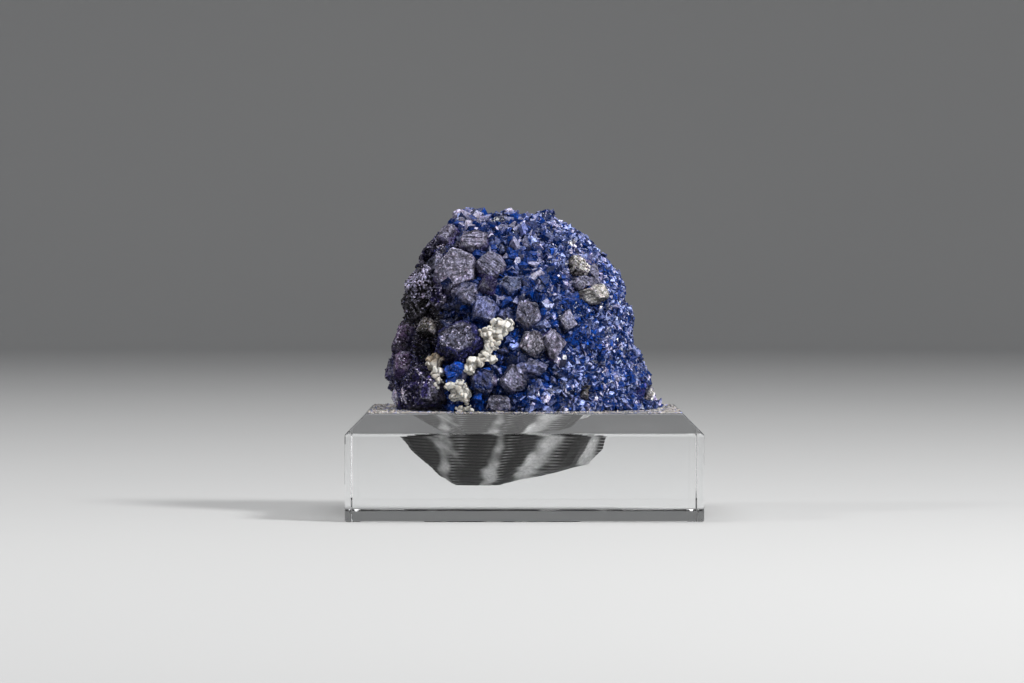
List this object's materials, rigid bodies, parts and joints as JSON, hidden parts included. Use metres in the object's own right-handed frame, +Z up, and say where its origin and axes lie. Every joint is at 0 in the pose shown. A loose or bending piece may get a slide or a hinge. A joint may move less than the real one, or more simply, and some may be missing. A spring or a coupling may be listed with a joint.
{
  "type": "fluorite specimen",
  "caption": "Deep blue fluorite crystal cluster with cream calcite grains, standing in the milled seat of a clear acrylic display block.",
  "frame": {"origin": "centre of the acrylic block's underside", "axes": "+X to the right across the display side, +Y to the back, +Z up"},
  "size_m": [0.15, 0.15, 0.1319],
  "materials": {
    "clear_acrylic": "polished clear acrylic, with fine tool marks left in the milled seat",
    "fluorite": "frosted lavender grey faces over deep cobalt blue, translucent crystal",
    "calcite": "smooth cream white grains"
  },
  "bodies": {
    "root": {"acrylic_block": "clear_acrylic", "fluorite_cluster": "fluorite", "calcite_upper": "calcite", "calcite_lower": "calcite", "calcite_foot": "calcite", "calcite_left": "calcite"}
  },
  "joints": []
}
